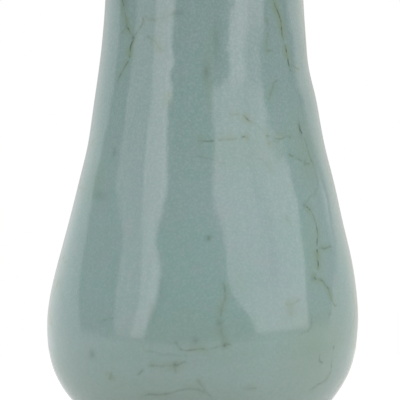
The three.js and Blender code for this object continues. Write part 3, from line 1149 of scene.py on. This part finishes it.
# Brightness by height, and how much of it the bar and the dimmer panes take away.
left_rising = course(
    (70, 0.78), (110, 0.9), (140, 0.86), (185, 0.8), (205, 0.92), (226, 1.0), (230, 0.88)
)
left_dimming = course((150, 0.38), (215, 0.45))
right_rising = course((60, 0.8), (95, 0.76), (130, 0.66), (180, 0.71), (220, 0.8), (226, 1.1))
right_dimming = course((216, 0), (219, 0.45), (226, 0.45), (231, 0.2))
bar_depth = course((105, 0), (125, 0.22), (190, 0.22), (205, 0.16), (216, 0.16), (220, 0))


def within(turn, height, left_edge, right_edge):
    """1 between two edges and 0 outside them, with a soft change across each edge."""
    past_left = smooth_step(turn - left_edge(height), -SOFT, SOFT)
    past_right = smooth_step(right_edge(height) - turn, -SOFT, SOFT)
    return past_left * past_right * smooth_step(height, *WINDOW_SILL)


def shaded(turn, height, share, brightness):
    """A brightness where the share is 1, passing to that of the wall behind, seen past the vase."""
    level = WALL_MIDDLE + (height - WALL_MIDDLE) * WALL_DISTANCE / WINDOW_DISTANCE
    return brightness * share + wall_glow(turn, level) * (1 - share)


def folds(turn):
    """Faint upright folds of a curtain: 1 and a sine wave for each width, the second a radian ahead."""
    waves = (np.sin(2 * np.pi * turn / width + k) for k, width in enumerate(FOLD_WIDTHS))
    return 1 + FOLD_DEPTH * sum(waves)


def left_glow(turn, height):
    """An inner pane, brighter towards the top and along its curtain, and a dimmer outer pane."""
    curtain = 1 + CURTAIN_GLOW * bell(turn - left_inner(height) + CURTAIN_INSET, CURTAIN_HALF)
    pane = 1 - left_dimming(height) * smooth_step(left_pane(height) - turn, -SOFT, SOFT)
    brightness = WINDOW_GLOW * left_rising(height) * curtain * pane * folds(turn)
    return shaded(turn, height, within(turn, height, left_outer, left_inner), brightness)


def right_glow(turn, height):
    """Two panes with a bar between them. Above the box on the sill, the outer pane is dimmer."""
    past_bar = turn - right_bar(height)
    bar = 1 - bar_depth(height) * bell(past_bar, BAR_HALF)
    pane = 1 - right_dimming(height) * smooth_step(past_bar, -SOFT, SOFT)
    brightness = WINDOW_GLOW * right_rising(height) * bar * pane * folds(turn)
    return shaded(turn, height, within(turn, height, right_inner, right_outer), brightness)


def shifted(edge, degrees):
    """An edge moved by some degrees, so that a card reaches past the soft change at its edge."""
    return lambda height: edge(height) + degrees


for name, left, right, glow in (
    ("left_window", left_outer, left_inner, left_glow),
    ("right_window", right_inner, right_outer, right_glow),
):
    edges = shifted(left, -SOFT), shifted(right, SOFT)
    card(name, WINDOW_DISTANCE, window_rows, edges, WINDOW_TINT, glow, lamp=True)

# %% The pale walls beside the vase
LEFT_SOFT = 1.5
RIGHT_SOFT = 6.0
FAR_EDGE = 150
WARM_TINT = "#FFFCF6"

# Azimuth of the near edge by height.
left_side = course(
    (56, -88.5), (74, -90.3), (103, -94), (130, -99.5), (141, -102.7), (155, -111), (161, -112),
    (167, -107), (175, -104), (183, -104), (192, -101), (222, -103),
)
right_side = course(
    (56, 98), (80, 102.5), (102, 108), (115, 116), (123, 120.5), (134, 124), (155, 120.4), (162, 118),
    (174, 112), (182, 109), (203, 110), (210, 108), (214, 104), (221, 100),
)
# Brightness by azimuth, and its share by height.
left_turning = course((-150, 0.80), (-140, 1.00), (-130, 1.12), (-85, 1.05))
left_falling = course((100, 1.0), (140, 0.92), (215, 0.9))
right_turning = course((95, 0.95), (134, 1.0), (140, 0.95), (150, 0.83))
right_lifting = course((196, 0.95), (214, 1.15))


def left_side_glow(turn, height):
    """The pale wall on the left, which ends with a clear edge."""
    share = smooth_step(left_side(height) - turn, -LEFT_SOFT, LEFT_SOFT)
    return shaded(turn, height, share, left_falling(height) * left_turning(turn))


def right_side_glow(turn, height):
    """The pale wall on the right, which ends with a soft edge."""
    share = smooth_step(turn - right_side(height), -RIGHT_SOFT, RIGHT_SOFT)
    return shaded(turn, height, share, right_lifting(height) * right_turning(turn))


side_rows = np.append(np.arange(2, WINDOW_SILL[0], 4), window_rows)
edges = course((0, -FAR_EDGE)), shifted(left_side, LEFT_SOFT)
card("left_pale_wall", WINDOW_DISTANCE, side_rows, edges, WALL_TINT, left_side_glow)
edges = shifted(right_side, -RIGHT_SOFT), course((0, FAR_EDGE))
card("right_pale_wall", WINDOW_DISTANCE, side_rows, edges, WARM_TINT, right_side_glow)

# %% [markdown]
# ## Paper and white room
# The paper is a matt disc, and the room round it is an even white world. A lit sheet alone would come
# out grey next to a white world, so the camera sees the paper with a little light of its own. In the
# glaze's mirror that light is weaker, which keeps the rims of the low belly from glaring.

# %% The paper and the white of the room
PAPER_RADIUS = 260.0
PAPER_CORNERS = 96
PAPER = "#F1F1EF"
PAPER_ROUGHNESS = 0.9
PAPER_LIFT = 0.42
MIRRORED_SHARE = 0.65
ROOM_LIGHT = 0.8

paper_edge = turned(line_of([PAPER_RADIUS], 0.0), azimuths(PAPER_CORNERS))[0]
pale_paper = into_scene("pale_paper", paper_edge, [range(PAPER_CORNERS)])

paper_finish, tree, shader = new_finish("uncoated_paper")
path = add(tree, "LightPath").outputs
sockets = {0: path["Is Glossy Ray"], 1: path["Is Transmission Ray"]}
mirrored = add(tree, "Math", sockets, operation="MAXIMUM")
sockets = {0: mirrored, 1: MIRRORED_SHARE, 2: path["Is Camera Ray"]}
seen = add(tree, "Math", sockets, operation="MULTIPLY_ADD")
lift = add(tree, "Math", {0: seen, 1: PAPER_LIFT}, operation="MULTIPLY")
sockets = {"Base Color": colour(PAPER), "Roughness": PAPER_ROUGHNESS, "Specular IOR Level": 0.0}
sockets |= {"Emission Color": colour("#FFFFFF"), "Emission Strength": lift}
fill(tree, shader, sockets)
pale_paper.data.materials.append(paper_finish)

white_room = bpy.data.worlds.new("white_room")
white_room.use_nodes = True
tree = white_room.node_tree
path = add(tree, "LightPath").outputs
sockets = {"Value": path["Is Diffuse Ray"], "To Min": 1.0, "To Max": ROOM_LIGHT}
strength = add(tree, "MapRange", sockets)
fill(tree, tree.nodes["Background"], {"Color": colour("#FFFFFF"), "Strength": strength})
bpy.context.scene.world = white_room
bpy.context.scene.view_settings.view_transform = "Standard"
print(f"paper {2 * PAPER_RADIUS:.0f} mm wide in a white room")

# %% [markdown]
# ## The camera
# The picture looks slightly down at the vase from about a metre, close enough to crop the lip and the
# foot. The lens follows from two sizes: how far away the camera is, and how wide a strip it takes in
# at the axis of the vase.

# %% The camera
VIEW_DISTANCE = 1000.0
VIEW_WIDTH = 193.3
VIEW_RISE = 5.0
AIM = (-1.93, 0.0, 114.0)
SENSOR = 36.0

lens = bpy.data.cameras.new("camera")
lens.sensor_width = SENSOR
lens.lens = SENSOR * VIEW_DISTANCE / VIEW_WIDTH
camera = bpy.data.objects.new("camera", lens)
bpy.context.scene.collection.objects.link(camera)
rise = math.radians(VIEW_RISE)
aim = np.array(AIM)
camera.location = (aim + VIEW_DISTANCE * np.array([0, -math.cos(rise), math.sin(rise)])) * MM
camera.rotation_euler = (math.pi / 2 - rise, 0, 0)
bpy.context.scene.camera = camera
print(f"lens {lens.lens:.1f} mm at {VIEW_DISTANCE:.0f} mm")
